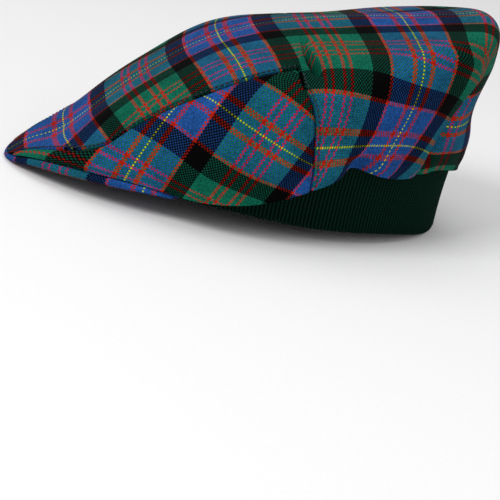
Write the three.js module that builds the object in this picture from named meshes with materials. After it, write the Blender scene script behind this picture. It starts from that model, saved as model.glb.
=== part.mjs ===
// A flat cap with a knitted head band, in millimetres, +Z up: the front is -X and the wearer's left side is -Y.
// It stands as a plain hat does, on the back of its band and the tip of its peak, with the floor at z = 0.
import * as THREE from "three";

// Driving sizes.
const CLOTH = 2.0; // wall of the crown's pieces: cloth with its backing
const GAP = 0.35; // clearance left along every seam
const KNIT = 3.6; // the band is two layers of rib knit
const BAND_TUCK = 7.0; // how far the band runs up inside the crown
const BAND_LEAST = 20.0; // its height across the forehead, behind the peak
const BAND_FLARE = 3.0; // how much wider the band is at its top than at its lower edge
const RETURN_RISE = 1.6; // the crown's turned-in lower edge climbs this much towards the band
const POLE_X = -105; // the crown's pole, before the cap is centred on its own length
const POLE_Z = 104.5;
const CENTRE_X = -121.95; // half way along the cap

// The crown is drawn by bearings from its pole: 0 is the front, 90 a side, 180 the back, and both sides are alike.
// Lower edge of the crown: bearing, distance from the pole, height.
const HEM = [
  { bearing: 0, r: 147.4, z: 3.0 },
  { bearing: 6, r: 144.8, z: 5.4 },
  { bearing: 12, r: 138.6, z: 9.4 },
  { bearing: 22, r: 127.0, z: 13.5 },
  { bearing: 30, r: 118.5, z: 15.1 },
  { bearing: 39, r: 109.5, z: 16.4 },
  { bearing: 48, r: 102.0, z: 16.0 },
  { bearing: 62, r: 97.0, z: 16.0 },
  { bearing: 78, r: 94.0, z: 20.8 },
  { bearing: 95, r: 92.5, z: 32.0 },
  { bearing: 111, r: 90.5, z: 44.2 },
  { bearing: 130, r: 94.0, z: 41.0 },
  { bearing: 148, r: 99.5, z: 44.0 },
  { bearing: 166, r: 108.5, z: 39.5 },
  { bearing: 180, r: 112.5, z: 36.0 },
];
// Four more rings of the crown, each a distance and a height: the puffed side, two on the shoulder, one on the top.
const CROWN = [
  { bearing: 0, sideR: 136.0, sideZ: 12.0, lowR: 116.0, lowZ: 23.5, highR: 84.0, highZ: 57.0, topR: 45.0, topZ: 87.0 },
  { bearing: 12, sideR: 134.0, sideZ: 14.0, lowR: 115.0, lowZ: 27.0, highR: 83.0, highZ: 59.5, topR: 45.0, topZ: 88.0 },
  { bearing: 26, sideR: 122.5, sideZ: 19.5, lowR: 107.0, lowZ: 37.0, highR: 80.0, highZ: 65.5, topR: 45.0, topZ: 90.0 },
  { bearing: 45, sideR: 104.5, sideZ: 27.0, lowR: 95.0, lowZ: 52.0, highR: 76.0, highZ: 76.5, topR: 45.0, topZ: 92.5 },
  { bearing: 66, sideR: 97.5, sideZ: 35.0, lowR: 90.5, lowZ: 65.0, highR: 74.5, highZ: 84.0, topR: 46.0, topZ: 94.5 },
  { bearing: 90, sideR: 93.5, sideZ: 50.0, lowR: 87.5, lowZ: 73.0, highR: 74.0, highZ: 88.0, topR: 48.0, topZ: 97.5 },
  { bearing: 112, sideR: 93.0, sideZ: 58.0, lowR: 90.0, lowZ: 82.0, highR: 79.0, highZ: 96.0, topR: 50.0, topZ: 101.5 },
  { bearing: 135, sideR: 95.5, sideZ: 64.0, lowR: 98.5, lowZ: 91.0, highR: 92.0, highZ: 108.0, topR: 56.0, topZ: 106.5 },
  { bearing: 158, sideR: 104.5, sideZ: 64.0, lowR: 111.0, lowZ: 101.0, highR: 103.5, highZ: 118.0, topR: 60.0, topZ: 113.0 },
  { bearing: 180, sideR: 109.0, sideZ: 65.0, lowR: 115.0, lowZ: 104.0, highR: 105.0, highZ: 123.0, topR: 62.0, topZ: 117.0 },
];
// The band's lower edge, on its outer face.
const RIM = [
  { bearing: 0, r: 99.0, z: 11.0 },
  { bearing: 30, r: 94.5, z: 11.0 },
  { bearing: 48, r: 89.0, z: 10.8 },
  { bearing: 62, r: 84.0, z: 10.6 },
  { bearing: 76, r: 80.0, z: 9.7 },
  { bearing: 90, r: 78.0, z: 8.4 },
  { bearing: 112, r: 79.5, z: 7.0 },
  { bearing: 130, r: 84.0, z: 6.2 },
  { bearing: 148, r: 91.0, z: 3.6 },
  { bearing: 160, r: 96.8, z: 1.0 },
  { bearing: 168, r: 100.0, z: 0.0 },
  { bearing: 180, r: 103.5, z: 0.0 },
];
// The peak's outer edge: distance, height of its underside, and thickness there.
const PEAK = [
  { bearing: 0, r: 148.6, z: 0.0, thick: 2.5 },
  { bearing: 6, r: 146.0, z: 1.6, thick: 2.7 },
  { bearing: 12, r: 139.8, z: 4.9, thick: 3.7 },
  { bearing: 22, r: 128.8, z: 8.2, thick: 4.6 },
  { bearing: 30, r: 120.3, z: 10.1, thick: 4.4 },
  { bearing: 39, r: 111.0, z: 11.7, thick: 4.0 },
  { bearing: 47, r: 102.5, z: 12.5, thick: 3.0 },
  { bearing: 54, r: 95.5, z: 12.4, thick: 2.4 },
];
const PEAK_END = 52; // bearing at which the peak dies into the band
const PEAK_ROOT_RISE = 9.0; // the peak climbs this much from its tip to the band
// The seam along the top of each side panel: how far up the crown it runs, 0 at the lower edge and 1 at the pole.
const TOP_SEAM = [
  { bearing: 5, up: 0.03 },
  { bearing: 7, up: 0.11 },
  { bearing: 11.5, up: 0.22 },
  { bearing: 17, up: 0.27 },
  { bearing: 24, up: 0.285 },
  { bearing: 29, up: 0.315 },
  { bearing: 34, up: 0.40 },
  { bearing: 41, up: 0.455 },
  { bearing: 52, up: 0.505 },
  { bearing: 66, up: 0.58 },
  { bearing: 77, up: 0.645 },
  { bearing: 85, up: 0.68 },
];
const SEAM_START = 5;
const CORNER = { bearing: 85, up: 0.68 }; // where a side panel's top seam meets its upright seam
const UPRIGHT_FOOT = 96; // bearing of the upright seam at the lower edge
// The upright seam between them: how much of the swing from corner to foot it has made, by height.
const UPRIGHT = [
  { height: 0, swing: 1.0 },
  { height: 0.18, swing: 0.93 },
  { height: 0.34, swing: 0.84 },
  { height: 0.48, swing: 0.76 },
  { height: 0.58, swing: 0.67 },
  { height: 0.72, swing: 0.48 },
  { height: 0.85, swing: 0.2 },
  { height: 1, swing: 0 },
];
// Dents and puffs in the cloth: place, half widths along the bearing and up the crown, lean, height out of the cloth.
const FOLDS = [
  { bearing: 112, up: 0.05, wide: 5.5, tall: 0.09, lean: 0, out: -3.6 }, // tuck behind the upright seam
  { bearing: 121, up: 0.03, wide: 6.0, tall: 0.12, lean: 0, out: 1.6 },
  { bearing: 103, up: 0.06, wide: 5.0, tall: 0.12, lean: 0, out: 1.2 },
  { bearing: 139, up: 0.04, wide: 6.0, tall: 0.12, lean: 0, out: 1.8 },
  { bearing: 90, up: 0.66, wide: 2.6, tall: 0.08, lean: 10, out: -3.2 }, // pucker behind the corner
  { bearing: 84, up: 0.72, wide: 3.2, tall: 0.05, lean: 10, out: 1.4 },
  { bearing: 63, up: 0.2, wide: 20, tall: 0.16, lean: 0, out: 1.6 }, // the side panel's own fullness
];
// A dart pinches each back corner of the crown, from the lower edge to the shoulder.
const DART = { foot: 139, bearing: 154.5, up: 0.38, wide: 2.6, deep: 2.2 };

const rad = THREE.MathUtils.degToRad;
const lerp = THREE.MathUtils.lerp;

// A smooth curve through a table's rows. Bearings mirror at the front and at the back.
function read(table, key, name) {
  const rows = table.map((row) => [row[key], row[name]]);
  return (x) => {
    let i = rows.findIndex((row) => row[0] > x) - 1;
    if (i < 0) i = x < rows[0][0] ? 0 : rows.length - 2;
    const last = key === "bearing" && rows.at(-1)[0] === 180 ? rows.length - 1 : -1;
    const before = rows[i - 1] ?? (key === "bearing" && rows[0][0] === 0 ? [-rows[1][0], rows[1][1]] : rows[i]);
    const mirrored = i + 1 === last ? [360 - rows[i][0], rows[i][1]] : rows[i + 1];
    const after = rows[i + 2] ?? mirrored;
    const slope = (a, b) => (b[0] === a[0] ? 0 : (b[1] - a[1]) / (b[0] - a[0]));
    const [a, b] = [rows[i], rows[i + 1]];
    const width = b[0] - a[0];
    const blend = (s0, w0, s1, w1) => (w0 + w1 ? (s0 * w1 + s1 * w0) / (w0 + w1) : 0);
    const m0 = before === a ? slope(a, b) : blend(slope(before, a), a[0] - before[0], slope(a, b), width);
    const m1 = after === b ? slope(a, b) : blend(slope(a, b), width, slope(b, after), after[0] - b[0]);
    const s = (x - a[0]) / width;
    const h = s * s * (3 - 2 * s);
    return a[1] * (1 - h) + b[1] * h + width * s * (1 - s) * (m0 * (1 - s) - m1 * s);
  };
}

const hemR = read(HEM, "bearing", "r");
const hemZ = read(HEM, "bearing", "z");
const rimR = read(RIM, "bearing", "r");
const rimRise = read(RIM, "bearing", "z");
const rimZ = (b) => Math.max(0, rimRise(b)); // its back lies flat on the floor
const peakR = read(PEAK, "bearing", "r");
const peakZ = read(PEAK, "bearing", "z");
const peakThick = read(PEAK, "bearing", "thick");
const seamUp = read(TOP_SEAM, "bearing", "up");
const uprightSwing = read(UPRIGHT, "height", "swing");
const rings = ["side", "low", "high", "top"].map((ring) => ({
  r: read(CROWN, "bearing", ring + "R"),
  z: read(CROWN, "bearing", ring + "Z"),
}));

const across = (bearing) => Math.abs(((bearing + 180) % 360) - 180);
const place = (bearing, r, z) =>
  new THREE.Vector3(POLE_X - r * Math.cos(rad(bearing)), -r * Math.sin(rad(bearing)), z);

// The crown's middle surface before its folds: a curve from the lower edge (up = 0) through the rings to the pole.
function smoothCrown(bearing, up) {
  const b = across(bearing);
  const back = 180 - b;
  const r = [hemR(b), ...rings.map((ring) => ring.r(b)), 0, -rings[3].r(back)];
  const z = [hemZ(b), ...rings.map((ring) => ring.z(b)), POLE_Z, rings[3].z(back)];
  r.unshift(2 * r[0] - r[1]);
  z.unshift(2 * z[0] - z[1]);
  const k = Math.min(4, Math.floor(up * 5));
  const s = up * 5 - k;
  const weights = [
    -s + 2 * s * s - s ** 3,
    2 - 5 * s * s + 3 * s ** 3,
    s + 4 * s * s - 3 * s ** 3,
    s ** 3 - s * s,
  ];
  const at = (list) => weights.reduce((sum, w, i) => sum + (w / 2) * list[k + i], 0);
  return place(bearing, at(r), at(z));
}

// Bearing of the upright seam at a height up the crown.
const uprightBearing = (up) =>
  lerp(CORNER.bearing, UPRIGHT_FOOT, uprightSwing(Math.min(1, up / CORNER.up)));

// How far the cloth stands out of the smooth crown.
function foldHeight(bearing, up) {
  const b = across(bearing);
  let out = 0;
  for (const fold of FOLDS) {
    const x = (b - fold.bearing + fold.lean * (up - fold.up)) / fold.wide;
    const y = (up - fold.up) / fold.tall;
    out += fold.out * Math.exp(-x * x - y * y);
  }
  const run = up / DART.up;
  const line = lerp(DART.foot, DART.bearing, run ** 1.3);
  const fade = Math.max(0, 1 - run ** 4);
  return out - DART.deep * fade * Math.exp(-(((b - line) / DART.wide) ** 2));
}

function outward(surface, bearing, up) {
  const step = 0.004;
  const u0 = Math.max(0, up - step);
  const u1 = Math.min(0.999, up + step);
  const along = surface(bearing + 0.4, up).sub(surface(bearing - 0.4, up));
  const rise = surface(bearing, u1).sub(surface(bearing, u0));
  return along.cross(rise).normalize();
}

function crown(bearing, up) {
  const p = smoothCrown(bearing, up);
  if (up > 0.98) return p;
  return p.addScaledVector(outward(smoothCrown, bearing, up), foldHeight(bearing, up));
}

// The band's outer face, from its lower edge (0) to its top inside the crown (1).
const bandTop = (b) => Math.max(hemZ(b) + BAND_TUCK, rimZ(b) + BAND_LEAST);
const bandR = (b, height) => rimR(b) + BAND_FLARE * Math.max(0, height) ** 2.5;

// Along the peak the crown's lower edge lies on it. Behind the peak it turns in under itself, to the band.
const turned = (b) => THREE.MathUtils.smoothstep(b, PEAK_END - 10, PEAK_END + 4);

function turnIn(bearing, depth) {
  const b = across(bearing);
  const edge = crown(bearing, 0);
  const edgeR = Math.hypot(edge.x - POLE_X, edge.y);
  const inward = depth * turned(b);
  const dip = -0.5 * Math.sin(Math.PI * inward);
  return place(bearing, lerp(edgeR, bandR(b, 1) + 0.6, inward), edge.z + dip + RETURN_RISE * inward ** 2);
}

// Grows a sheet of outer points into a closed wall: each point goes inwards against its own normal.
function wall(points, normals, faces, thickness) {
  const count = points.length;
  const inner = points.map((p, i) => p.clone().addScaledVector(normals[i], -thickness));
  const index = [];
  const edges = new Map();
  for (const [a, b, c] of faces) {
    index.push(a, b, c, a + count, c + count, b + count);
    for (const [from, to] of [[a, b], [b, c], [c, a]]) {
      if (!edges.delete(`${to} ${from}`)) edges.set(`${from} ${to}`, [from, to]);
    }
  }
  for (const [from, to] of edges.values()) {
    index.push(to, from, from + count, to, from + count, to + count);
  }
  return solid([...points, ...inner], index);
}

function solid(points, index) {
  const geometry = new THREE.BufferGeometry().setFromPoints(points);
  geometry.setIndex(index);
  const sharp = geometry.toNonIndexed();
  sharp.computeVertexNormals();
  return sharp;
}

// A sheet gathers the points of several patches, and points in one place become one point.
function sheet() {
  const points = [];
  const normals = [];
  const faces = [];
  const known = new Map();
  const add = (point, normal) => {
    const key = point.toArray().map((v) => v.toFixed(3)).join();
    if (!known.has(key)) {
      known.set(key, points.length);
      points.push(point);
      normals.push(normal);
    }
    return known.get(key);
  };
  const patch = (rows) => {
    const ids = rows.map((row) => row.map((p) => add(p.point, p.normal)));
    for (let i = 0; i + 1 < ids.length; i++) {
      for (let j = 0; j + 1 < ids[i].length; j++) {
        const [a, b, c, d] = [ids[i][j], ids[i][j + 1], ids[i + 1][j + 1], ids[i + 1][j]];
        if (a !== b && b !== c && c !== a) faces.push([a, b, c]);
        if (a !== c && c !== d && d !== a) faces.push([a, c, d]);
      }
    }
  };
  return { points, normals, faces, patch };
}

// Points of the crown's outer face, each with the way in through its wall. A negative height is the turned-in edge.
// Over the peak the wall thins to a pressed edge, so its way in turns level there.
function clothPoint(bearing, up) {
  if (up >= 1) return { point: place(0, 0, POLE_Z), normal: new THREE.Vector3(-0.12, 0, 1).normalize() };
  const height = Math.max(0, up);
  const pressed = (1 - turned(across(bearing))) * (1 - THREE.MathUtils.smoothstep(height, 0, 0.08));
  const level = place(bearing, 1, 0).sub(place(bearing, 0, 0));
  const normal = outward(crown, bearing, height).lerp(level, pressed).normalize();
  if (up >= 0) return { point: crown(bearing, up), normal };
  const under = Math.min(1, -2 * up) * turned(across(bearing));
  return { point: turnIn(bearing, -up), normal: normal.lerp(new THREE.Vector3(0, 0, -1), under).normalize() };
}

const steps = (n) => Array.from({ length: n + 1 }, (_, i) => i / n);

const PANEL_COLUMNS = 26;
const PANEL_ROWS = 8;
const BACK_COLUMNS = 26;
const TOP_ROWS = 8;
const TURN_STEPS = [-1, -0.5];
const panelColumns = steps(PANEL_COLUMNS).map((u) => u ** 1.25);
const backColumns = steps(BACK_COLUMNS);

// A side panel: side is 1 for the wearer's left and -1 for the right. It stops a gap short of both seams.
function sidePanel(side) {
  const cloth = sheet();
  const heights = [...TURN_STEPS, ...steps(PANEL_ROWS)];
  const rows = heights.map((height) =>
    panelColumns.map((u) => {
      const column = Math.min(u, 1 - GAP / 140);
      const topBearing = lerp(SEAM_START + 0.6, CORNER.bearing, column);
      const footBearing = lerp(SEAM_START + 0.6, UPRIGHT_FOOT, column);
      if (height < 0) return clothPoint(side * footBearing, height);
      const narrow = 1 - THREE.MathUtils.smoothstep(topBearing, 9, 18);
      const top = seamUp(topBearing) - (GAP / 90) * (1 + narrow);
      const b = lerp(topBearing, footBearing, uprightSwing(height));
      return clothPoint(side * b, height * top);
    }),
  );
  cloth.patch(side > 0 ? rows : rows.map((row) => row.reverse()));
  return wall(cloth.points, cloth.normals, cloth.faces, CLOTH);
}

// The top piece: over the crown from the tip of the peak, then down both sides behind the panels and round the back.
function topPiece() {
  const cloth = sheet();
  const front = steps(3).slice(0, 3).map((u) => ({ bearing: SEAM_START * u, up: 0 }));
  const seam = panelColumns.map((u) => {
    const bearing = lerp(SEAM_START, CORNER.bearing, u);
    return { bearing, up: seamUp(bearing) };
  });
  const behind = backColumns.slice(1).map((w) => ({ bearing: lerp(CORNER.bearing, 180, w), up: CORNER.up }));
  const right = [...front, ...seam, ...behind];
  const left = right.slice(1, -1).map((p) => ({ bearing: -p.bearing, up: p.up }));
  const ring = [...right, ...left.reverse(), right[0]];
  const over = steps(TOP_ROWS).map((v) => ring.map((p) => clothPoint(p.bearing, lerp(p.up, 1, v))));
  cloth.patch(over);
  // Behind the upright seams it comes down to the lower edge all round.
  const heights = [...TURN_STEPS, ...steps(PANEL_ROWS)];
  const down = heights.map((height) => {
    const up = height < 0 ? height : height * CORNER.up;
    const first = uprightBearing(Math.max(0, up));
    const oneSide = backColumns.map((w) => lerp(first, 180, w));
    return [...oneSide, ...oneSide.slice(0, -1).map((b) => 360 - b).reverse()].map((b) => clothPoint(b, up));
  });
  cloth.patch(down);
  return wall(cloth.points, cloth.normals, cloth.faces, CLOTH);
}

// A closed loop of sections, or an open run of them with its two ends capped.
function loft(sections, closed) {
  const size = sections[0].length;
  const count = sections.length;
  const index = [];
  const spans = closed ? count : count - 1;
  for (let i = 0; i < spans; i++) {
    const next = (i + 1) % count;
    for (let j = 0; j < size; j++) {
      const k = (j + 1) % size;
      const [a, b, c, d] = [i * size + j, next * size + j, next * size + k, i * size + k];
      index.push(a, b, c, a, c, d);
    }
  }
  if (!closed) {
    for (let j = 1; j + 1 < size; j++) {
      index.push(0, j, j + 1);
      const last = (count - 1) * size;
      index.push(last, last + j + 1, last + j);
    }
  }
  return solid(sections.flat(), index);
}

// The knitted band: one loop with a rounded lower edge where the knit folds back inside itself.
function knitBand() {
  const around = 96;
  const sections = [];
  for (let i = 0; i < around; i++) {
    const bearing = (360 * i) / around;
    const b = across(bearing);
    const low = rimZ(b);
    const high = bandTop(b);
    const outer = [0.12, 0.35, 0.6, 0.8, 1].map((h) => [bandR(b, h), lerp(low, high, h)]);
    const inner = outer.map(([r, z]) => [r - KNIT, z]).reverse();
    const foldR = KNIT / 2;
    const fold = [-0.8, -0.4, 0, 0.4, 0.8].map((s) => {
      const turn = (s * Math.PI) / 2;
      return [rimR(b) - foldR + foldR * Math.sin(turn), low + foldR * (1 - Math.cos(turn))];
    });
    sections.push([...outer, ...inner, ...fold].map(([r, z]) => place(bearing, r, z)));
  }
  return loft(sections, true);
}

// The peak: a stiff covered crescent in front of the band, thickest along its rounded outer edge.
function peak() {
  const across2 = 44;
  const sections = steps(across2).map((u) => {
    const bearing = lerp(-PEAK_END, PEAK_END, u);
    const b = Math.abs(bearing);
    const rootR = rimR(b) + 1.0;
    const edgeR = Math.max(peakR(b), rootR + 2.5);
    const thick = peakThick(b);
    const rise = PEAK_ROOT_RISE * Math.max(0, 1 - (b / PEAK_END) ** 1.3) * 1.1;
    const underside = (f) => peakZ(b) + rise * f ** 1.2;
    const at = (f, up) => place(bearing, lerp(edgeR - thick * 0.35, rootR, f), underside(f) + up * thick);
    const nose = [0.12, 0.5, 0.88].map((up) => {
      const bulge = 0.35 * thick * Math.sin(Math.PI * up);
      return place(bearing, edgeR - thick * 0.35 + bulge, underside(0) + up * thick);
    });
    const top = [0, 0.33, 0.66, 1].map((f) => at(f, 1 - 0.25 * f));
    const under = [1, 0.66, 0.33, 0].map((f) => at(f, 0));
    return [...under, ...nose, ...top];
  });
  return loft(sections, false);
}

const tartan = (name) => new THREE.MeshStandardMaterial({ name, color: 0x23584f, roughness: 0.9, metalness: 0 });
const knit = new THREE.MeshStandardMaterial({ name: "rib_knit", color: 0x07271c, roughness: 0.95, metalness: 0 });

const cap = new THREE.Group();
cap.name = "flat_cap";
const pieces = [
  ["crown_top", topPiece(), tartan("tartan_straight")],
  ["side_panel_left", sidePanel(1), tartan("tartan_bias_left")],
  ["side_panel_right", sidePanel(-1), tartan("tartan_bias_right")],
  ["peak", peak(), tartan("tartan_peak")],
  ["knit_band", knitBand(), knit],
];
for (const [name, geometry, material] of pieces) {
  const mesh = new THREE.Mesh(geometry, material);
  mesh.name = name;
  mesh.position.x = -CENTRE_X;
  cap.add(mesh);
}

export default cap;
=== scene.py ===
import math
import bpy
import numpy as np
from mathutils import Matrix, Vector


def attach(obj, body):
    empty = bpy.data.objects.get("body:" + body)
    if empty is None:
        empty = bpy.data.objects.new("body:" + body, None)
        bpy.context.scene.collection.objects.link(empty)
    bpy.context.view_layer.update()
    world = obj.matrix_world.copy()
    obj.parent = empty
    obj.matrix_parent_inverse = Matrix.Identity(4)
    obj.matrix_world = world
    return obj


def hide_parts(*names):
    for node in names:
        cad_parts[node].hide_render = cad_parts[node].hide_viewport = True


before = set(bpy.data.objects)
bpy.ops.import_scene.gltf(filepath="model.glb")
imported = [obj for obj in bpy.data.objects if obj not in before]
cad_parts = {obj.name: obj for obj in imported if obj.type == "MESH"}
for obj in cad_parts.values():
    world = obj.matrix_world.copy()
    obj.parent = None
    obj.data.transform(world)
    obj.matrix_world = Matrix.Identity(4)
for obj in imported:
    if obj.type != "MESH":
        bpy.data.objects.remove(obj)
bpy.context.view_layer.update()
scene = bpy.context.scene

# A flat cap: a soft tartan crown with a covered peak in front and a folded rib-knit band round the head.
# Its shapes are worked out in millimetres round a pole at x = POLE_X, and become metres in a mesh.
# Bearings run round the pole: 0 is the front (-X), 90 the wearer's left (-Y), 180 the back.

# ----------------------------------------------------------------------------------------------------
# Top piece
# One cut of plain-woven wool with its lining fused on. It lies from the peak's tip over the crown, comes
# down both sides behind the side panels and goes round the back, where a dart takes in each corner. Its
# lower edge is turned in and sewn to the knitted band.
POLE_X, POLE_Z = -105.0, 104.5
CENTRE_X = -121.95  # half way along the cap, which is x = 0 in the frame
CLOTH = 2.0  # thickness
HEM = np.array([  # bearing, distance, height of the lower edge
    [0, 147.4, 3.0], [6, 144.8, 5.4], [12, 138.6, 9.4], [22, 127.0, 13.5], [30, 118.5, 15.1],
    [39, 109.5, 16.4], [48, 102.0, 16.0], [62, 97.0, 16.0], [78, 94.0, 20.8], [95, 92.5, 32.0],
    [111, 90.5, 44.2], [130, 94.0, 41.0], [148, 99.5, 44.0], [166, 108.5, 39.5], [180, 112.5, 36.0]])
CROWN = np.array([  # bearing, then distance and height of four rings: side, low shoulder, high shoulder, top
    [0, 136.0, 12.0, 116.0, 23.5, 84.0, 57.0, 45.0, 87.0],
    [12, 134.0, 14.0, 115.0, 27.0, 83.0, 59.5, 45.0, 88.0],
    [26, 122.5, 19.5, 107.0, 37.0, 80.0, 65.5, 45.0, 90.0],
    [45, 104.5, 27.0, 95.0, 52.0, 76.0, 76.5, 45.0, 92.5],
    [66, 97.5, 35.0, 90.5, 65.0, 74.5, 84.0, 46.0, 94.5],
    [90, 93.5, 50.0, 87.5, 73.0, 74.0, 88.0, 48.0, 97.5],
    [112, 93.0, 58.0, 90.0, 82.0, 79.0, 96.0, 50.0, 101.5],
    [135, 95.5, 64.0, 98.5, 91.0, 92.0, 108.0, 56.0, 106.5],
    [158, 104.5, 64.0, 111.0, 101.0, 103.5, 118.0, 60.0, 113.0],
    [180, 109.0, 65.0, 115.0, 104.0, 105.0, 123.0, 62.0, 117.0]])
SPANS = 5  # from the lower edge through the four rings to the pole
TOP_SEAM = np.array([  # bearing, how far up the crown the seam over the side panel runs
    [5, 0.03], [7, 0.11], [11.5, 0.22], [17, 0.27], [24, 0.285], [29, 0.315], [34, 0.40], [41, 0.455],
    [52, 0.505], [66, 0.58], [77, 0.645], [85, 0.68]])
POINT_START, SEAM_START = 3.33, 5.0  # bearings where the top piece leaves the lower edge, and meets the seam
CORNER_BEARING, CORNER_UP, UPRIGHT_FOOT = 85.0, 0.68, 96.0
UPRIGHT = np.array([  # height up the upright seam, share of its swing
    [0, 1.0], [0.18, 0.93], [0.34, 0.84], [0.48, 0.76], [0.58, 0.67], [0.72, 0.48], [0.85, 0.2], [1, 0]])
FOLDS = np.array([  # bearing, up, half width, half height, lean, height out of the cloth, share on the right
    [112, 0.05, 4.2, 0.12, 0, -6.5, 1],  # a dent in the lower edge, between two puffs
    [120.5, 0.04, 5.0, 0.12, 0, 2.8, 1],
    [103.5, 0.06, 4.6, 0.12, 0, 2.0, 1],
    [139, 0.04, 6.0, 0.12, 0, 1.8, 1],  # a puff at the dart's foot
    [91.4, 0.735, 1.9, 0.07, 24, -21.0, 0.12],  # the pucker at the panel's corner, and the ridge before it
    [88, 0.75, 2.6, 0.06, 22, 1.6, 0],
    [180, 0.3, 30, 0.1, 0, -2.0, 1],  # the hollow of the back, and the pull of the sewn edge below it
    [180, 0, 22, 0.045, 0, -3.0, 1],
    [128, 0, 26, 0.035, 0, -1.8, 1],
    [63, 0.2, 20, 0.16, 0, 1.6, 1],  # fuller cloth: side, top of the back, front, foot of the back
    [180, 0.58, 28, 0.07, 0, 3.2, 1],
    [22, 0.46, 16, 0.12, 0, 2.4, 1],
    [180, 0.16, 28, 0.075, 0, 2.6, 1]])
DART_FOOT, DART_TOP, DART_UP = 139.0, 154.5, 0.38
DART_WIDE, DART_DEEP, CREASE_WIDE, CREASE_DEEP = 2.6, 2.2, 0.5, 0.9
# The lie of the weave: cloth millimetres along (s) and across (t) as sums of powers of the place on the
# crown, which is measured from GRAIN_MIDDLE in units of GRAIN_SCALE.
GRAIN_MIDDLE, GRAIN_SCALE = (POLE_X, 0.0, 60.0), (100.0, 100.0, 60.0)
GRAIN_S = np.array([  # powers of x, of y, of z, amount
    [0, 0, 0, 137.52], [0, 0, 1, 3.65], [0, 0, 2, 30.41], [0, 0, 3, -0.55], [0, 2, 0, -11.87],
    [0, 2, 1, -8.99], [0, 3, 0, 23.96], [1, 0, 0, 136.91], [1, 0, 1, -78.21], [1, 0, 2, 15.96],
    [1, 2, 0, 12.23], [2, 0, 0, 36.13], [2, 0, 1, -2.46], [3, 0, 0, -16.8]])
GRAIN_T = np.array([
    [0, 1, 0, 207.43], [0, 1, 1, -133.51], [0, 1, 2, -10.86], [0, 2, 0, -26.25], [0, 2, 1, 94.96],
    [0, 3, 0, -79.54], [1, 1, 0, 131.88], [1, 1, 1, -16.93], [1, 2, 0, -123.46], [2, 1, 0, -53.84]])
TIP_FROM, TIP_TO, TIP_SHARE = 222.0, 240.0, 0.6  # how far forward, and the share of the distance aside
# The back: how far up its shoulder is, the weave's length there, and its stretch downwards and sideways.
BACK_SHOULDER, BACK_START, BACK_LONG, BACK_WIDE = 0.74, 240.9, 1.055, 1.02
JOIN_SPREAD, JOIN_FROM, JOIN_TO = 70.0, 0.5, 0.78  # degrees for each whole of up, and where the back ends


def along(table, x, level_start=True, level_end=True):
    """A smooth curve through a table's rows, at x. Between two rows it is a cubic. Its slope at a row is the
    mean of the slopes on both sides, each weighted by the other side's width, and it's level at the ends
    named so."""
    at, value = table[:, 0], table[:, 1:]
    width = np.diff(at)[:, None]
    rise = np.diff(value, axis=0) / width
    middle = (rise[:-1] * width[1:] + rise[1:] * width[:-1]) / (width[:-1] + width[1:])
    slope = np.vstack([rise[:1] * (not level_start), middle, rise[-1:] * (not level_end)])
    x = np.asarray(x, float)
    i = np.clip(np.searchsorted(at, x, side="right") - 1, 0, len(at) - 2)
    s = ((x - at[i]) / width[i, 0])[..., None]
    h = s * s * (3 - 2 * s)
    bend = width[i] * s * (1 - s) * (slope[i] * (1 - s) - slope[i + 1] * s)
    return value[i] * (1 - h) + value[i + 1] * h + bend


def smoothstep(x, low, high):
    """0 below low, 1 above high, and 3s^2 - 2s^3 between them."""
    s = np.clip((x - low) / (high - low), 0, 1)
    return s * s * (3 - 2 * s)


def off_front(bearing):
    """How many degrees a bearing is from the front, on either side."""
    return np.abs((bearing + 180) % 360 - 180)


def place(bearing, r, z):
    """The point at a bearing and a distance r from the pole, at height z."""
    a = np.radians(bearing)
    return np.stack(np.broadcast_arrays(POLE_X - r * np.cos(a), -r * np.sin(a), z), axis=-1)


def smooth_crown(bearing, up):
    """The crown without its folds. Up runs from the lower edge at 0, through the four rings at 0.2, 0.4, 0.6
    and 0.8, to the pole at 1, as a curve whose slope at each ring is half the step between its two
    neighbours."""
    bearing, up = np.broadcast_arrays(np.asarray(bearing, float), np.asarray(up, float))
    b = off_front(bearing)
    hem, ring, past = along(HEM, b), along(CROWN, b), along(CROWN, 180 - b)[..., 6:]
    r = [hem[..., 0], ring[..., 0], ring[..., 2], ring[..., 4], ring[..., 6], 0 * b, -past[..., 0]]
    z = [hem[..., 1], ring[..., 1], ring[..., 3], ring[..., 5], ring[..., 7], 0 * b + POLE_Z, past[..., 1]]
    r, z = [2 * r[0] - r[1]] + r, [2 * z[0] - z[1]] + z
    k = np.clip(np.floor(up * SPANS).astype(int), 0, SPANS - 1)
    s = up * SPANS - k
    weights = [-s + 2 * s**2 - s**3, 2 - 5 * s**2 + 3 * s**3, s + 4 * s**2 - 3 * s**3, s**3 - s**2]

    def at(values):
        values = np.stack(values, -1)
        picks = [np.take_along_axis(values, (k + n)[..., None], -1)[..., 0] for n in range(4)]
        return sum(w / 2 * p for w, p in zip(weights, picks))

    return place(bearing, at(r), at(z))


def dart_line(up):
    """Bearing of the dart: it leans back with the height to the power 1.3, then runs straight to the pole."""
    return DART_FOOT + (DART_TOP - DART_FOOT) * np.clip(up / DART_UP, 0, 1) ** 1.3


def fold_height(bearing, up):
    """Bell-shaped dents and puffs, and the dart as a trough that ends smoothly, with a crease along its
    bottom. The pucker at the panel's corner is deep on the left and slight on the right."""
    left = np.sin(np.radians(bearing)) >= 0
    b = off_front(bearing)
    out = np.zeros(np.broadcast(b, up).shape)
    for at, high, wide, tall, lean, height, on_right in FOLDS:
        x = (b - at + lean * (up - high)) / wide
        y = (up - high) / tall
        out = out + height * np.where(left, 1, on_right) * np.exp(-x * x - y * y)
    fade = np.clip(1 - (up / DART_UP) ** 4, 0, 1)
    d = b - dart_line(up)
    trough = DART_DEEP * np.exp(-((d / DART_WIDE) ** 2))
    return out - fade * (trough + CREASE_DEEP * np.exp(-np.abs(d) / CREASE_WIDE))


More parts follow.
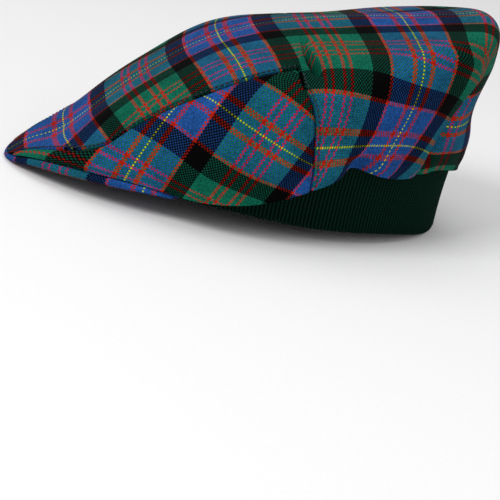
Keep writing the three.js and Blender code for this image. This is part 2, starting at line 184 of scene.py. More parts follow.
def outward(surface, bearing, up):
    """The way out of a surface: square to a short step along it and a short step up it."""
    step = surface(bearing + 0.2, up) - surface(bearing - 0.2, up)
    rise = surface(bearing, np.clip(up + 0.002, 0, 0.999)) - surface(bearing, np.clip(up - 0.002, 0, 0.997))
    n = np.cross(step, rise)
    return n / np.linalg.norm(n, axis=-1, keepdims=True)


def crown(bearing, up):
    """The crown with its folds, which stand out square to the smooth crown and are none at the pole."""
    height = np.where(up > 0.98, 0, fold_height(bearing, up))
    return smooth_crown(bearing, up) + outward(smooth_crown, bearing, up) * height[..., None]


RIM = np.array([  # bearing, distance, height of the knitted band's lower edge
    [0, 99.0, 11.0], [30, 94.5, 11.0], [48, 89.0, 10.8], [62, 84.0, 10.6], [76, 80.0, 9.7], [90, 78.0, 8.4],
    [112, 79.5, 7.0], [130, 84.0, 6.2], [148, 91.0, 3.6], [160, 96.8, 1.0], [168, 100.0, 0.0],
    [180, 103.5, 0.0]])
BAND_FLARE, BAND_GAP = 3.0, 0.6
PEAK_END = 52.0  # bearing of the peak's ends
FLAT_TO, TURNED_FROM = 42.0, 56.0  # bearings between which the lower edge begins to turn in
EDGE_DIP, EDGE_CLIMB, PRESSED_UP = 0.5, 1.6, 0.08
POLE_OUT = (-0.12, 0, 1.0)  # the way out at the pole


def band_r(b, height):
    """The band widens towards its top with the height to the power 2.5."""
    return along(RIM, b)[..., 0] + BAND_FLARE * np.clip(height, 0, 1) ** 2.5


def cloth(bearing, up):
    """Outer point of the crown's cloth and the way out of it. Below 0 the edge turns in under itself towards
    the band: it dips with a sine and climbs with the square of the depth. Over the peak it's pressed flat."""
    bearing, up = np.broadcast_arrays(np.asarray(bearing, float), np.asarray(up, float))
    b = off_front(bearing)
    high = np.clip(up, 0, 1)
    turned = smoothstep(b, FLAT_TO, TURNED_FROM)
    pressed = ((1 - turned) * (1 - smoothstep(high, 0, PRESSED_UP)))[..., None]
    point = crown(bearing, high)
    level = place(bearing, 1, 0) - place(bearing, 0, 0)
    normal = outward(crown, bearing, high) * (1 - pressed) + level * pressed
    depth = np.clip(-up, 0, 1) * turned
    edge_r = np.hypot(point[..., 0] - POLE_X, point[..., 1])
    under_r = edge_r + (band_r(b, 1) + BAND_GAP - edge_r) * depth
    under = place(bearing, under_r, point[..., 2] - EDGE_DIP * np.sin(np.pi * depth) + EDGE_CLIMB * depth**2)
    point = np.where((up < 0)[..., None], under, point)
    flip = (np.clip(-2 * up, 0, 1) * turned)[..., None]
    normal = normal * (1 - flip) + np.array([0, 0, -1.0]) * flip
    pole = (up >= 1)[..., None]
    point = np.where(pole, [POLE_X, 0, POLE_Z], point)
    normal = np.where(pole, POLE_OUT, normal)
    return point, normal / np.linalg.norm(normal, axis=-1, keepdims=True)


def from_middle(point, middle, scale):
    """A place measured from a middle in units of a scale, alike on the left and the right."""
    parts = (point[..., 0], np.abs(point[..., 1]), point[..., 2])
    return [(part - start) / unit for part, start, unit in zip(parts, middle, scale)]


def powers(table, x, y, z):
    """The sum over a table's rows of the amount times x, y and z, each raised to the row's power."""
    return sum(amount * x**i * y**j * z**k for i, j, k, amount in table)


# Lengths down the middle of the back, from its shoulder.
arc_up = np.linspace(BACK_SHOULDER, 0, 300)
arc_points = smooth_crown(180.0, arc_up)
arc_length = np.r_[0, np.cumsum(np.linalg.norm(np.diff(arc_points, axis=0), axis=1))]


def top_grain(bearing, up, behind_dart):
    """Cloth millimetres (s, t) of the top piece. Over the top and the sides they are the sums of powers
    above. Towards the tip t runs over to a share of the distance from the middle. Behind the dart s is the
    length down the back from the shoulder and t the distance from the middle. Over the dart's end the two
    run into each other over a width that grows with the height."""
    p = smooth_crown(bearing, np.clip(up, 0, 1))
    x, y, z = from_middle(p, GRAIN_MIDDLE, GRAIN_SCALE)
    s, t = powers(GRAIN_S, x, y, z), powers(GRAIN_T, x, y, z)
    aside = np.abs(p[..., 1])
    t = t + (TIP_SHARE * aside - t) * smoothstep(-p[..., 0], TIP_FROM, TIP_TO)
    s_back = BACK_START + BACK_LONG * np.interp(-np.clip(up, 0, BACK_SHOULDER), -arc_up, arc_length)
    t_back = aside / BACK_WIDE
    d = off_front(bearing) - dart_line(up)
    spread = 0.01 + JOIN_SPREAD * np.clip(up - DART_UP, 0, 1)
    w = np.where(up <= DART_UP, float(behind_dart), smoothstep(d, -spread, spread))
    w = w * (1 - smoothstep(up, JOIN_FROM, JOIN_TO))
    side = np.sign(np.sin(np.radians(bearing)) + 1e-9)
    return np.stack([s + (s_back - s) * w, side * (t + (t_back - t) * w)], -1)


WELD_STEPS = 50  # to the millimetre: points that round to the same step become one
SHARP = math.radians(50)


def make_mesh(name, patches, wall):
    """Patches are grids of (outer point, way out, cloth coordinate) in millimetres. Points in one place
    become one, every point is copied inwards by the wall, and the open edges of the two skins are joined."""
    points = np.concatenate([p.reshape(-1, 3) for p, _, _ in patches])
    normals = np.concatenate([n.reshape(-1, 3) for _, n, _ in patches])
    grain = np.concatenate([g.reshape(-1, 2) for _, _, g in patches])
    corners, first = [], 0
    for p, _, _ in patches:
        n, m = p.shape[:2]
        ids = first + np.arange(n * m).reshape(n, m)
        corners.append(np.stack([ids[:-1, :-1], ids[:-1, 1:], ids[1:, 1:], ids[1:, :-1]], -1).reshape(-1, 4))
        first += n * m
    corners = np.concatenate(corners)
    _, keep, same = np.unique(np.round(points * WELD_STEPS).astype(np.int64), axis=0, return_index=True,
                              return_inverse=True)
    same = same.reshape(-1)
    points, normals = points[keep], normals[keep]
    distinct = same[corners] != same[np.roll(corners, -1, axis=1)]
    quads = corners[distinct.sum(1) == 4]
    narrow = distinct.sum(1) == 3
    order = np.argsort(~distinct[narrow], axis=1, kind="stable")[:, :3]
    tris = np.take_along_axis(corners[narrow], order, 1)
    starts = np.concatenate([quads.ravel(), tris.ravel()])
    ends = np.concatenate([np.roll(quads, -1, 1).ravel(), np.roll(tris, -1, 1).ravel()])
    faces = [same[quads], same[tris]]
    uvs = [grain[quads].reshape(-1, 2), grain[tris].reshape(-1, 2)]
    if wall:
        count = len(points)
        a, b = same[starts], same[ends]
        edge = ~np.isin(a * count + b, b * count + a)
        rim = np.stack([b, a, a + count, b + count], 1)[edge]
        rim_uv = np.stack([grain[ends], grain[starts], grain[starts], grain[ends]], 1)[edge]
        points = np.concatenate([points, points - normals * wall])
        faces = [faces[0], faces[0][:, ::-1] + count, rim, faces[1], faces[1][:, ::-1] + count]
        uvs = [uvs[0], grain[quads][:, ::-1].reshape(-1, 2), rim_uv.reshape(-1, 2),
               uvs[1], grain[tris][:, ::-1].reshape(-1, 2)]
    mesh = bpy.data.meshes.new(name)
    verts = (points - [CENTRE_X, 0, 0]) * 0.001
    mesh.from_pydata(verts.tolist(), [], [f for group in faces for f in group.tolist()])
    layer = mesh.uv_layers.new(name="cloth")
    layer.data.foreach_set("uv", np.concatenate(uvs).astype(np.float32).ravel())
    mesh.polygons.foreach_set("use_smooth", np.ones(len(mesh.polygons), bool))
    mesh.set_sharp_from_angle(angle=SHARP)
    mesh.update()
    obj = bpy.data.objects.new(name, mesh)
    scene.collection.objects.link(obj)
    return obj


# How the cloth stands off beside a seam: how deep or high, at what distance, how wide.
ROLL_DEEP, ROLL_WIDE = 2.4, 1.2
GROOVE_DEEP, GROOVE_AT, GROOVE_WIDE = 0.5, 1.5, 0.5
SWELL_HIGH, SWELL_AT, SWELL_WIDE = 0.4, 2.6, 1.0
DIP_DEEP, DIP_WIDE, HOLLOW_DEEP, HOLLOW_WIDE = 2.2, 0.6, 0.7, 1.8


def top_seam_shape(distance):
    """The top piece rolls down into its seam with the square of the nearness, with a bell-shaped groove
    under its stitches and a soft swelling beyond."""
    roll = -ROLL_DEEP * np.clip(1 - distance / ROLL_WIDE, 0, 1) ** 2
    groove = -GROOVE_DEEP * np.exp(-(((distance - GROOVE_AT) / GROOVE_WIDE) ** 2))
    return roll + groove + SWELL_HIGH * np.exp(-(((distance - SWELL_AT) / SWELL_WIDE) ** 2))


def under_seam_shape(distance):
    """Cloth that is sewn under another piece dips into the seam: a narrow dip and a wide one, both fading
    exponentially."""
    return -DIP_DEEP * np.exp(-distance / DIP_WIDE) - HOLLOW_DEEP * np.exp(-distance / HOLLOW_WIDE)


def raised(patch, height):
    """A patch moved out along its way out."""
    point, normal, grain = patch
    return point + normal * height[..., None], normal, grain


PUCKER_END, DART_NEAR = 99.0, 135.0  # bearings between which the columns behind the corner change their width
ROLL_FROM, ROLL_TO = 4.0, 7.0  # bearings over which the roll into the top seam sets in


def top_patches():
    """The over part runs from the ring of seams to the pole, with rows close together at the seams. The down
    part runs from the lower edge to the height of the panels' corners, in four strips that meet at the
    darts."""
    front = np.linspace(0, SEAM_START, 7)[:-1]
    seam = SEAM_START + (CORNER_BEARING - SEAM_START) * np.linspace(0, 1, 140) ** 1.25
    behind = np.concatenate([np.linspace(CORNER_BEARING, PUCKER_END, 35),
                             np.linspace(PUCKER_END, DART_NEAR, 22)[1:],
                             np.linspace(DART_NEAR, DART_TOP, 20)[1:]])
    share, behind = (behind - CORNER_BEARING) / (DART_TOP - CORNER_BEARING), behind[1:]
    back = np.linspace(DART_TOP, 180, 35)[1:]
    bearing = np.concatenate([front, seam, behind, back])
    point_rise = TOP_SEAM[0, 1] * np.clip((front - POINT_START) / (SEAM_START - POINT_START), 0, 1)
    low = np.concatenate([point_rise, along(TOP_SEAM, seam, False, False)[..., 0],
                          np.full(len(behind) + len(back), CORNER_UP)])
    up = low + (1 - low) * (np.linspace(0, 1, 66) ** 1.6)[:, None]
    reach = np.where(bearing <= CORNER_BEARING, 1.0, 0.0) * smoothstep(bearing, ROLL_FROM, ROLL_TO)
    patches = []
    for side in (1, -1):
        b = np.broadcast_to(side * bearing, up.shape)
        point, normal = cloth(b, up)
        d = np.linalg.norm(point - point[:1], axis=-1)
        patch = raised((point, normal, top_grain(b, up, False)), top_seam_shape(d) * reach)
        patches.append(tuple(g if side > 0 else g[:, ::-1] for g in patch))
    up = np.concatenate([np.linspace(-1, 0, 5)[:-1], CORNER_UP * np.linspace(0, 1, 56)])[:, None]
    high = np.clip(up, 0, 1)
    swing = along(UPRIGHT, high / CORNER_UP, False, False)[..., 0]
    first = CORNER_BEARING + (UPRIGHT_FOOT - CORNER_BEARING) * swing
    line = dart_line(high)
    to_dart, behind_it = (first, line, share, False), (line, 180.0, np.linspace(0, 1, 35), True)
    for side in (1, -1):
        for start, end, way, behind_dart in (to_dart, behind_it):
            b = side * (start + (end - start) * way)
            u = np.broadcast_to(up, b.shape)
            point, normal = cloth(b, u)
            patch = (point, normal, top_grain(b, u, behind_dart))
            if not behind_dart:
                d = np.linalg.norm(point - point[:, :1], axis=-1)
                patch = raised(patch, under_seam_shape(d) * smoothstep(CORNER_UP - u, 0.0, 0.03))
            patches.append(tuple(g if side > 0 else g[:, ::-1] for g in patch))
    return patches


def node(tree, kind, inputs=(), **settings):
    """A node with its settings made and its inputs given by number or name, each a socket or a constant."""
    n = tree.nodes.new(kind)
    for key, value in settings.items():
        setattr(n, key, value)
    for key, value in (inputs.items() if isinstance(inputs, dict) else enumerate(inputs)):
        if isinstance(value, bpy.types.NodeSocket):
            tree.links.new(value, n.inputs[key])
        else:
            n.inputs[key].default_value = value
    return n


def calc(tree, operation, *inputs):
    """The result of a Math node."""
    return node(tree, "ShaderNodeMath", inputs, operation=operation).outputs[0]


# Tartan group. A cloth coordinate in millimetres becomes a thread number, the threads' colours follow the
# sett, which is mirrored at its yellow and green middles, and the plain weave shows each of two crossing
# threads at every other crossing. Where a thread shows, it is a small mound that falls off with the square
# of the distance from its middle, fully across the thread and partly along it, and the same falloff darkens
# the colour towards the thread's edges as painted shade. The threads that run along the first coordinate
# are dimmer, and a crossing with a black thread gets painted shade.
REPEAT, REPEAT_THREADS = 110.0, 115
THREAD, HALF_SETT = REPEAT / REPEAT_THREADS, REPEAT_THREADS / 2
YELLOW, BLUE, RED = (0.38, 0.43, 0.02), (0.012, 0.066, 0.24), (0.36, 0.011, 0.003)
GREEN, BLACK = (0.003, 0.108, 0.063), (0.0006, 0.0006, 0.001)
SETT = (  # threads, colour
    (1, YELLOW), (4, BLUE), (3, RED), (13, BLUE), (2, RED), (12, BLACK), (13, GREEN), (2, RED), (3, GREEN),
    (2, RED), (3, GREEN))
ENDS, MOUND, GROUND, DIMMER, SHADE = 0.6, 0.9, 0.59, -0.24, 0.6  # how a thread's light is shared out
tartan = bpy.data.node_groups.new("Tartan", "ShaderNodeTree")
tartan.interface.new_socket("Cloth", in_out="INPUT", socket_type="NodeSocketVector")
tartan.interface.new_socket("Color", in_out="OUTPUT", socket_type="NodeSocketColor")
tartan.interface.new_socket("Height", in_out="OUTPUT", socket_type="NodeSocketFloat")
group_in = node(tartan, "NodeGroupInput")
parts = node(tartan, "ShaderNodeSeparateXYZ", [group_in.outputs[0]])
colours, shades, indexes, bulges = [], [], [], []
for axis in (0, 1):
    count = calc(tartan, "ADD", calc(tartan, "DIVIDE", parts.outputs[axis], THREAD), 0.5)
    index = calc(tartan, "FLOOR", count)
    folded = calc(tartan, "DIVIDE", calc(tartan, "PINGPONG", index, HALF_SETT), HALF_SETT)
    ramp = node(tartan, "ShaderNodeValToRGB", [folded])
    ramp.color_ramp.interpolation = "CONSTANT"
    stops = ramp.color_ramp.elements
    threads = 0
    for number, (width, colour) in enumerate(SETT):
        stop = stops[0] if number == 0 else stops.new((threads - 0.5) / HALF_SETT)
        stop.color = (*colour, 0 if colour == BLACK else 1)
        threads += width
    stops.remove(stops[-1])
    across = calc(tartan, "SUBTRACT", calc(tartan, "MULTIPLY", calc(tartan, "FRACT", count), 2.0), 1.0)
    colours.append(ramp.outputs[0])
    shades.append(ramp.outputs[1])
    indexes.append(index)
    bulges.append(calc(tartan, "SUBTRACT", 1.0, calc(tartan, "MULTIPLY", across, across)))
over = calc(tartan, "FLOORED_MODULO", calc(tartan, "ADD", *indexes), 2.0)
mix = node(tartan, "ShaderNodeMix", {0: over, 6: colours[0], 7: colours[1]}, data_type="RGBA")
mounds = [calc(tartan, "MULTIPLY", bulges[n], calc(tartan, "MULTIPLY_ADD", bulges[1 - n], ENDS, 1 - ENDS))
          for n in (0, 1)]
show = node(tartan, "ShaderNodeMix", {0: over, 2: mounds[0], 3: mounds[1]})
ground = calc(tartan, "MULTIPLY_ADD", over, DIMMER, GROUND)
# Painted light and shade: a thread's colour is brightest on its mound, darkens towards its edges, and darkens
# further where it crosses a black thread.
painted_thread_light = calc(tartan, "MULTIPLY_ADD", show.outputs[0], MOUND, ground)
unshaded = calc(tartan, "MULTIPLY_ADD", calc(tartan, "MULTIPLY", *shades), SHADE, 1 - SHADE)
painted_light = calc(tartan, "MULTIPLY", painted_thread_light, unshaded)
dim = node(tartan, "ShaderNodeMix", {0: 1.0, 6: mix.outputs[2], 7: painted_light}, data_type="RGBA",
           blend_type="MULTIPLY")
node(tartan, "NodeGroupOutput", [dim.outputs[2], show.outputs[0]])

FUZZ, FUZZ_SHARE, UNEVEN = 0.6, 0.7, 2.6  # height of the fibres, share of the fine noise, its contrast


def wool(name):
    """Wool cloth: the tartan's colours, made uneven by a fine and a coarse noise, under a slight sheen of
    loose fibres."""
    material = bpy.data.materials.new(name)
    material.use_nodes = True
    tree = material.node_tree
    shader = tree.nodes["Principled BSDF"]
    cloth_at = node(tree, "ShaderNodeUVMap", uv_map="cloth")
    pattern = node(tree, "ShaderNodeGroup", node_tree=tartan)
    tree.links.new(cloth_at.outputs[0], pattern.inputs[0])
    coords = node(tree, "ShaderNodeTexCoord").outputs["Object"]
    fuzz = node(tree, "ShaderNodeTexNoise", {"Vector": coords, "Scale": 900.0, "Detail": 2.0})
    patchy = node(tree, "ShaderNodeTexNoise", {"Vector": coords, "Scale": 60.0, "Detail": 2.0})
    spread = calc(tree, "ADD", calc(tree, "MULTIPLY", fuzz.outputs[0], FUZZ_SHARE),
                  calc(tree, "MULTIPLY", patchy.outputs[0], 1 - FUZZ_SHARE))
    value = calc(tree, "MULTIPLY_ADD", spread, UNEVEN, 1 - UNEVEN / 2)
    tone = node(tree, "ShaderNodeHueSaturation", {"Value": value, "Color": pattern.outputs[0]})
    tree.links.new(tone.outputs[0], shader.inputs["Base Color"])
    shader.inputs["Roughness"].default_value = 0.85
    shader.inputs["Specular IOR Level"].default_value = 0.04
    shader.inputs["Sheen Weight"].default_value = 0.006
    shader.inputs["Sheen Roughness"].default_value = 0.35
    height = calc(tree, "ADD", pattern.outputs[1], calc(tree, "MULTIPLY", fuzz.outputs[0], FUZZ))
    bump = node(tree, "ShaderNodeBump", {"Strength": 0.35, "Distance": 0.00012, "Height": height})
    tree.links.new(bump.outputs[0], shader.inputs["Normal"])
    return material


top = make_mesh("top_piece", top_patches(), CLOTH)
top.data.materials.append(wool("tartan_top"))
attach(top, "root")
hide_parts("crown_top")

# ----------------------------------------------------------------------------------------------------
# Side panels
# One pointed piece of the same cloth on each side, cut on the bias, so that its tartan runs in diamonds.
# Its upper edge is sewn under the top piece, and its back edge to it along an upright seam.
PANEL_START = 5.6  # bearing of the panel's point
BIAS_MIDDLE, BIAS_SCALE = (-150.0, 75.0, 40.0), (60.0, 30.0, 30.0)
BIAS_P = np.array([  # powers of x, of y, of z, amount
    [0, 0, 0, 29.34], [0, 0, 1, -12.41], [0, 0, 2, 2.27], [0, 1, 0, 14.66], [0, 1, 1, 0.17],
    [0, 2, 0, -9.92], [1, 0, 0, 55.11], [1, 0, 1, -8.18], [1, 1, 0, 8.65], [2, 0, 0, 7.88]])
BIAS_Q = np.array([
    [0, 0, 0, 30.26], [0, 0, 1, -35.30], [0, 0, 2, 2.37], [0, 1, 0, -10.36], [0, 1, 1, 7.99],
    [0, 2, 0, -15.47], [1, 0, 0, -7.96], [1, 0, 1, -2.46], [1, 1, 0, 13.11], [2, 0, 0, -13.63]])
POINT_LOOSE, CORNER_LOOSE = (-22.0, 0.45), (-28.0, 0.5)  # where the cloth stretches, share of the weave left
TOP_DIP_FROM, TOP_DIP_TO, BACK_DIP_FROM, BACK_DIP_TO = 8.0, 16.0, 40.0, 60.0  # bearings where dips set in
DEEPEST = -2.9


def loosened(coordinate, knee, share):
    """Past a knee the cloth is stretched: its coordinate goes on at a share of its rate."""
    return np.maximum(coordinate, knee + (coordinate - knee) * share)


def panel_patch(side):
    """A grid from the lower edge to the top seam and from the panel's point to its upright seam, with
    columns and rows close together at both seams. The weave is stretched towards the point and the corner."""
    column = 1 - (1 - np.linspace(0, 1, 150) ** 1.25) ** 1.3
    height = np.concatenate([np.linspace(-1, 0, 5)[:-1], 1 - (1 - np.linspace(0, 1, 60)) ** 1.5])[:, None]
    high = np.clip(height, 0, 1)
    top_b = PANEL_START + (CORNER_BEARING - PANEL_START) * column
    foot_b = PANEL_START + (UPRIGHT_FOOT - PANEL_START) * column
    swing = along(UPRIGHT, high, False, False)[..., 0]
    b = side * (top_b + (foot_b - top_b) * np.where(height < 0, 1, swing))
    seam_up = along(TOP_SEAM, top_b, False, False)[..., 0]
    up = np.where(height < 0, height, height * seam_up)
    point, normal = cloth(b, up)
    x, y, z = from_middle(smooth_crown(b, np.clip(up, 0, 1)), BIAS_MIDDLE, BIAS_SCALE)
    grain = np.stack([loosened(powers(BIAS_P, x, y, z), *POINT_LOOSE),
                      loosened(powers(BIAS_Q, x, y, z), *CORNER_LOOSE)], -1)
    to_top = np.linalg.norm(point - point[-1:], axis=-1)
    to_back = np.linalg.norm(point - point[:, -1:], axis=-1)
    dips = under_seam_shape(to_top) * smoothstep(b * side, TOP_DIP_FROM, TOP_DIP_TO)
    dips = dips + under_seam_shape(to_back) * smoothstep(np.abs(b), BACK_DIP_FROM, BACK_DIP_TO)
    patch = raised((point, normal, grain), np.maximum(dips, DEEPEST))
    return [tuple(g if side > 0 else g[:, ::-1] for g in patch)]


for side, name in ((1, "left"), (-1, "right")):
    panel = make_mesh("side_panel_" + name + "_cloth", panel_patch(side), CLOTH)
    panel.data.materials.append(wool("tartan_" + name))
    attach(panel, "root")
    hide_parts("side_panel_" + name)

# ----------------------------------------------------------------------------------------------------
# Peak
# A stiff board cut to a crescent and covered with the same cloth, thickest along its rounded front edge.
# The crown's front lies on it and is sewn down, so that only its edge shows.
PEAK = np.array([  # bearing, distance of the outer edge, height of the underside, thickness
    [0, 148.6, 0.0, 2.5], [6, 146.0, 1.6, 2.7], [12, 139.8, 4.9, 3.7], [22, 128.8, 8.2, 4.6],
    [30, 120.3, 10.1, 4.4], [39, 111.0, 11.7, 4.0], [47, 102.5, 12.5, 3.0], [54, 95.5, 12.4, 2.4]])
PEAK_RISE, PEAK_LEAST, ROOT_GAP = 9.9, 2.5, 1.0
NOSE, SHELF = 0.35, 0.25  # of the thickness: how far the nose stands out, how far the top falls to the root
COLUMNS, FLAT, ROUND = 221, 16, 9  # points along the peak, across one face, and round the nose between them
EDGE_GRAIN = 9.0  # from the nose's middle to the sett's yellow middle


def peak_patches():
    """Round each section: the underside from the root outwards, a half-round nose, and the top back to the
    root. The underside climbs towards the band with the distance in to the power 1.2, and less towards the
    peak's ends."""
    bearing = np.linspace(-PEAK_END, PEAK_END, COLUMNS)[:, None]
    b = np.abs(bearing)
    edge = along(PEAK, b[:, 0], True, False)[:, None, :]
    root_r = along(RIM, b)[..., 0] + ROOT_GAP
    edge_r, low, thick = np.maximum(edge[..., 0], root_r + PEAK_LEAST), edge[..., 1], edge[..., 2]
    rise = PEAK_RISE * np.clip(1 - (b / PEAK_END) ** 1.3, 0, 1)
    lip = edge_r - thick * NOSE
    half_turn = np.linspace(0, np.pi, ROUND + 2)[1:-1]
    inn = np.concatenate([np.linspace(1, 0, FLAT), np.zeros(ROUND), np.linspace(0, 1, FLAT)])
    lift = np.concatenate([np.zeros(FLAT), (1 - np.cos(half_turn)) / 2, np.ones(FLAT)])
    swell = np.concatenate([np.zeros(FLAT), np.sin(half_turn), np.zeros(FLAT)])
    shelf = np.concatenate([np.zeros(FLAT + ROUND), np.linspace(0, 1, FLAT)])
    r = lip + (root_r - lip) * inn + NOSE * thick * swell
    z = low + rise * inn**1.2 + thick * (lift - SHELF * shelf)
    point = place(bearing, r, z)
    loop = np.concatenate([point, point[:, :1]], 1)
    nose = FLAT + ROUND // 2
    along_edge = np.cumsum(np.r_[0, np.linalg.norm(np.diff(point[:, nose], axis=0), axis=1)])
    across_edge = np.cumsum(np.linalg.norm(np.diff(loop, axis=1), axis=2), axis=1)
    across_edge = np.concatenate([0 * across_edge[:, :1], across_edge], 1)
    grain = np.stack([np.broadcast_to(along_edge[:, None] - along_edge[COLUMNS // 2], across_edge.shape),
                      across_edge - across_edge[:, nose:nose + 1] + EDGE_GRAIN], -1)
    caps = []
    for end, turn in ((0, 1), (-1, -1)):
        centre = np.broadcast_to(loop[end].mean(0), loop[end].shape)
        cap = np.stack([loop[end], centre])[:, ::turn]
        caps.append((cap, cap * 0, np.stack([grain[end], grain[end]])[:, ::turn]))
    return [(loop[:, ::-1], loop * 0, grain[:, ::-1])] + caps


peak = make_mesh("covered_peak", peak_patches(), 0)
peak.data.materials.append(wool("tartan_peak"))
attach(peak, "root")
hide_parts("peak")

# ----------------------------------------------------------------------------------------------------
# Knitted band
# A loop of dark green wool in one-and-one rib, folded double so that its lower edge is round, and sewn
# inside the crown's turned-in edge. It carries no mark.
KNIT, RIBS, STITCH = 3.6, 268, 1.7  # thickness, number of ribs, height of a stitch
RIB_DEEP, RIB_POINTS = 1.1, 6
BAND_IN, BAND_LEAST, OFF_FLOOR = 7.0, 20.0, 0.8


def band_patches():
    """Each rib is a rounded ridge: the knit falls off to its sides with the cube of the distance from its
    middle. Ribs are equally wide along the rim, so bearings come from the rim's length."""
    fine = np.linspace(0, 360, 2881)
    rim = along(RIM, off_front(fine))
    rim_point = place(fine, rim[:, 0], rim[:, 1])
    length = np.r_[0, np.cumsum(np.linalg.norm(np.diff(rim_point, axis=0), axis=1))]
    rib = np.arange(RIBS * RIB_POINTS + 1) / RIB_POINTS
    bearing = np.interp(rib / RIBS * length[-1], length, fine)[:, None]
    b = off_front(bearing)
    low = np.maximum(0, along(RIM, b)[..., 1])
    high = np.maximum(along(HEM, b)[..., 1] + BAND_IN, low + BAND_LEAST)
    outer_h = np.linspace(0.1, 1, 18)
    turn = np.linspace(-0.9, 0.9, 9) * np.pi / 2
    ridge = -RIB_DEEP * np.abs(2 * (rib % 1) - 1)[:, None] ** 3
    r_out = band_r(b, outer_h) + ridge
    r_in = band_r(b, outer_h[::-1]) - KNIT - ridge
    r_fold = along(RIM, b)[..., 0] - KNIT / 2 + (KNIT / 2 + ridge) * np.sin(turn)
    z_out = low + (high - low) * outer_h
    z_in = low + (high - low) * outer_h[::-1]
    z_fold = low + KNIT / 2 - (KNIT / 2 + ridge * (low > OFF_FLOOR)) * np.cos(turn)
    r = np.concatenate([r_out, r_in, r_fold], 1)
    point = place(bearing, r, np.concatenate([z_out, z_in, z_fold], 1))
    loop = np.concatenate([point, point[:, :1]], 1)
    down = np.cumsum(np.linalg.norm(np.diff(loop, axis=1), axis=2), axis=1)
    down = np.concatenate([0 * down[:, :1], down], 1)
    grain = np.stack([np.broadcast_to(rib[:, None], down.shape), down], -1)
    return [(loop[:, ::-1], loop * 0, grain[:, ::-1])]


def rib_knit():
    """Each rib is a column of V-shaped stitches: two rows of loops that lean towards the rib's middle. The
    colour is lighter where the loops stand high, as painted light, and darkens between the ribs with the
    distance from a rib's middle to the power 1.6, as painted shade."""
    material = bpy.data.materials.new("rib_knit")
    material.use_nodes = True
    tree = material.node_tree
    shader = tree.nodes["Principled BSDF"]
    at = node(tree, "ShaderNodeUVMap", uv_map="cloth")
    split = node(tree, "ShaderNodeSeparateXYZ", [at.outputs[0]])
    off = calc(tree, "ABSOLUTE", calc(tree, "SUBTRACT", calc(tree, "FRACT", split.outputs[0]), 0.5))
    slant = calc(tree, "MULTIPLY", off, 1.6)
    row = calc(tree, "ADD", calc(tree, "DIVIDE", split.outputs[1], STITCH), slant)
    wave = calc(tree, "ABSOLUTE", calc(tree, "SUBTRACT", calc(tree, "FRACT", row), 0.5))
    loopy = calc(tree, "SUBTRACT", 1.0, calc(tree, "MULTIPLY", wave, 1.8))
    middle = calc(tree, "SMOOTH_MIN", calc(tree, "MULTIPLY", off, 8.0), 1.0, 0.4)
    coords = node(tree, "ShaderNodeTexCoord").outputs["Object"]
    fuzz = node(tree, "ShaderNodeTexNoise", {"Vector": coords, "Scale": 1100.0, "Detail": 2.0})
    height = calc(tree, "ADD", calc(tree, "MULTIPLY", loopy, middle),
                  calc(tree, "MULTIPLY", fuzz.outputs[0], 0.5))
    painted_shade_between_ribs = calc(tree, "SUBTRACT", 1.0, calc(tree, "POWER", calc(tree, "MULTIPLY", off, 2.0), 1.6))
    # Painted light and shade: the knit's colour follows the loops' height and darkens between the ribs.
    light = calc(tree, "MULTIPLY", calc(tree, "ADD", 0.35, calc(tree, "MULTIPLY", height, 0.5)),
                 calc(tree, "ADD", 0.05, calc(tree, "MULTIPLY", painted_shade_between_ribs, 0.95)))
    ramp = node(tree, "ShaderNodeValToRGB", [light])
    ramp.color_ramp.elements[0].color = (0.0001, 0.0003, 0.0002, 1)
    ramp.color_ramp.elements[1].color = (0.0024, 0.026, 0.015, 1)
    tree.links.new(ramp.outputs[0], shader.inputs["Base Color"])
    shader.inputs["Roughness"].default_value = 0.9
    shader.inputs["Specular IOR Level"].default_value = 0.04
    shader.inputs["Sheen Weight"].default_value = 0.008
    shader.inputs["Sheen Roughness"].default_value = 0.4
    bump = node(tree, "ShaderNodeBump", {"Strength": 0.6, "Distance": 0.0004, "Height": height})
    tree.links.new(bump.outputs[0], shader.inputs["Normal"])
    return material


band = make_mesh("rib_band", band_patches(), 0)
band.data.materials.append(rib_knit())
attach(band, "root")
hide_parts("knit_band")

# ----------------------------------------------------------------------------------------------------
# Topstitching
# A row of thick navy thread on the top piece, a millimetre and a half from each top seam and each upright
# seam: one small raised stitch after another, each sunk at both ends.
PITCH, STITCH_LENGTH, FIRST = 2.9, 2.25, 0.12  # from stitch to stitch, length of one, start in pitches
BEAD_RADIUS, BEAD_RISE, BEAD_SINK = 0.5, 0.4, 0.12


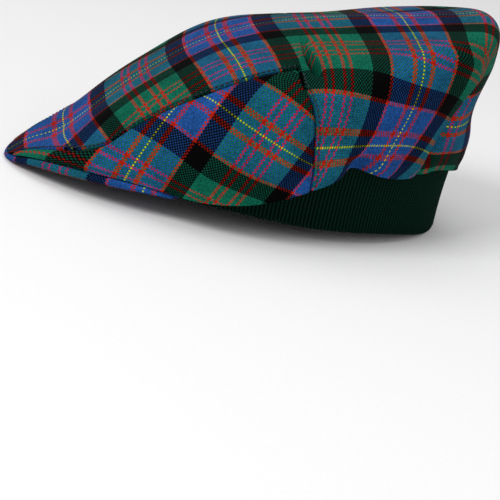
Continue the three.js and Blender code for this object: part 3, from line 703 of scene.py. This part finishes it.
def stitch_patches(side, upright):
    """Stitches are equally long along the seam. Each is a bead of six sides whose radius and height follow
    the square root of a sine along it."""
    if upright:
        up = np.linspace(0.01, 0.66, 1200)
        swing = along(UPRIGHT, up / CORNER_UP, False, False)[..., 0]
        fine = CORNER_BEARING + (UPRIGHT_FOOT - CORNER_BEARING) * swing
        over_bearing, over_up, reach, sink = 0.5, 0.0, 1.9, 0.35
    else:
        fine = SEAM_START + (CORNER_BEARING - SEAM_START) * np.linspace(0.02, 1, 1200)
        up = along(TOP_SEAM, fine, False, False)[..., 0]
        over_bearing, over_up, reach, sink = 0.0, 0.01, 1.35, 0.1
    surface, normal = cloth(side * fine, up)
    beside, _ = cloth(side * (fine + over_bearing), up + over_up)
    inward = beside - surface
    inward /= np.linalg.norm(inward, axis=-1, keepdims=True)
    path = surface + inward * reach - normal * sink
    length = np.r_[0, np.cumsum(np.linalg.norm(np.diff(path, axis=0), axis=1))]
    start = (np.arange(int(length[-1] / PITCH)) + FIRST) * PITCH
    f = np.linspace(0, 1, 7)
    at = start[:, None] + f * STITCH_LENGTH
    centre = np.stack([np.interp(at, length, path[:, i]) for i in range(3)], -1)
    rise = np.stack([np.interp(at, length, normal[:, i]) for i in range(3)], -1)
    across = np.stack([np.interp(at, length, inward[:, i]) for i in range(3)], -1)
    swell = np.sqrt(np.clip(np.sin(np.pi * f), 0, 1))
    centre = centre + rise * (BEAD_RISE * swell - BEAD_SINK)[None, :, None]
    a = np.linspace(0, 2 * np.pi, 7)
    ring = across[:, :, None] * np.cos(a)[:, None] + rise[:, :, None] * np.sin(a)[:, None]
    bead = centre[:, :, None] + ring * (BEAD_RADIUS * swell)[None, :, None, None]
    bead = bead if (side < 0) != upright else bead[:, :, ::-1]
    return [(p, p * 0, p[..., :2] * 0 + [first, 0]) for p, first in zip(bead, start)]


stitch_rows = [stitch_patches(side, upright) for side in (1, -1) for upright in (False, True)]
stitches = make_mesh("topstitching", sum(stitch_rows, []), 0)
thread = bpy.data.materials.new("navy_thread")
thread.use_nodes = True
tree = thread.node_tree
shader = tree.nodes["Principled BSDF"]
coords = node(tree, "ShaderNodeTexCoord").outputs["Object"]
fuzz = node(tree, "ShaderNodeTexNoise", {"Vector": coords, "Scale": 1500.0})
ramp = node(tree, "ShaderNodeValToRGB", [fuzz.outputs[0]])
ramp.color_ramp.elements[0].color = (0.001, 0.002, 0.007, 1)
ramp.color_ramp.elements[1].color = (0.004, 0.009, 0.028, 1)
tree.links.new(ramp.outputs[0], shader.inputs["Base Color"])
shader.inputs["Roughness"].default_value = 0.6
stitches.data.materials.append(thread)
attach(stitches, "root")

# ----------------------------------------------------------------------------------------------------
# Floor, lights and camera
# A wide white floor under soft studio light. The camera stands a metre off on the wearer's left, a little
# above, and leans with the line of a worn cap's band.
bpy.ops.mesh.primitive_plane_add(size=24, location=(0, 0, 0))
floor = bpy.context.object
floor.name = "floor"
paper = bpy.data.materials.new("paper")
paper.use_nodes = True
tree = paper.node_tree
shader = tree.nodes["Principled BSDF"]
coords = node(tree, "ShaderNodeTexCoord").outputs["Object"]
fibre = node(tree, "ShaderNodeTexNoise", {"Vector": coords, "Scale": 400.0})
ramp = node(tree, "ShaderNodeValToRGB", [fibre.outputs[0]])
ramp.color_ramp.elements[0].color = (0.89, 0.89, 0.89, 1)
ramp.color_ramp.elements[1].color = (0.93, 0.93, 0.93, 1)
tree.links.new(ramp.outputs[0], shader.inputs["Base Color"])
shader.inputs["Roughness"].default_value = 0.9
floor.data.materials.append(paper)

world = bpy.data.worlds.new("studio")
scene.world = world
world.use_nodes = True
background = world.node_tree.nodes["Background"]
background.inputs["Color"].default_value = (1, 1, 1, 1)
background.inputs["Strength"].default_value = 0.43
LAMPS = (  # name, place, size, power
    ("key", (-1.1, -0.8, 1.4), 0.9, 19),
    ("top", (0.2, 0.4, 1.9), 1.6, 10.5),
    ("fill", (1.0, -1.3, 0.9), 1.0, 4))
LAMP_AIM = Vector((0, 0, 0.06))
for name, where, size, power in LAMPS:
    light = bpy.data.lights.new(name, "AREA")
    light.size = size
    light.energy = power
    lamp = bpy.data.objects.new(name, light)
    lamp.location = where
    lamp.rotation_euler = (LAMP_AIM - Vector(where)).to_track_quat("-Z", "Y").to_euler()
    scene.collection.objects.link(lamp)

YAW, ABOVE, LEAN = math.radians(6.5), math.radians(19.9), math.radians(11.2)
AIM = Vector((0.0176, 0, -0.03463))
SENSOR, LENS = 36, 123.08
ahead = Vector((math.sin(YAW) * math.cos(ABOVE), math.cos(YAW) * math.cos(ABOVE), -math.sin(ABOVE)))
right = Vector((math.cos(YAW), -math.sin(YAW), 0))
lean = Matrix.Rotation(-LEAN, 3, "Y")
ahead, right = lean @ ahead, lean @ right
up_way = right.cross(ahead)
camera_data = bpy.data.cameras.new("camera")
camera_data.sensor_width = SENSOR
camera_data.lens = LENS
camera = bpy.data.objects.new("camera", camera_data)
rotation = Matrix((right, up_way, -ahead)).transposed()
camera.matrix_world = Matrix.Translation(AIM - ahead) @ rotation.to_4x4()
scene.collection.objects.link(camera)
scene.camera = camera
scene.view_settings.view_transform = "Standard"
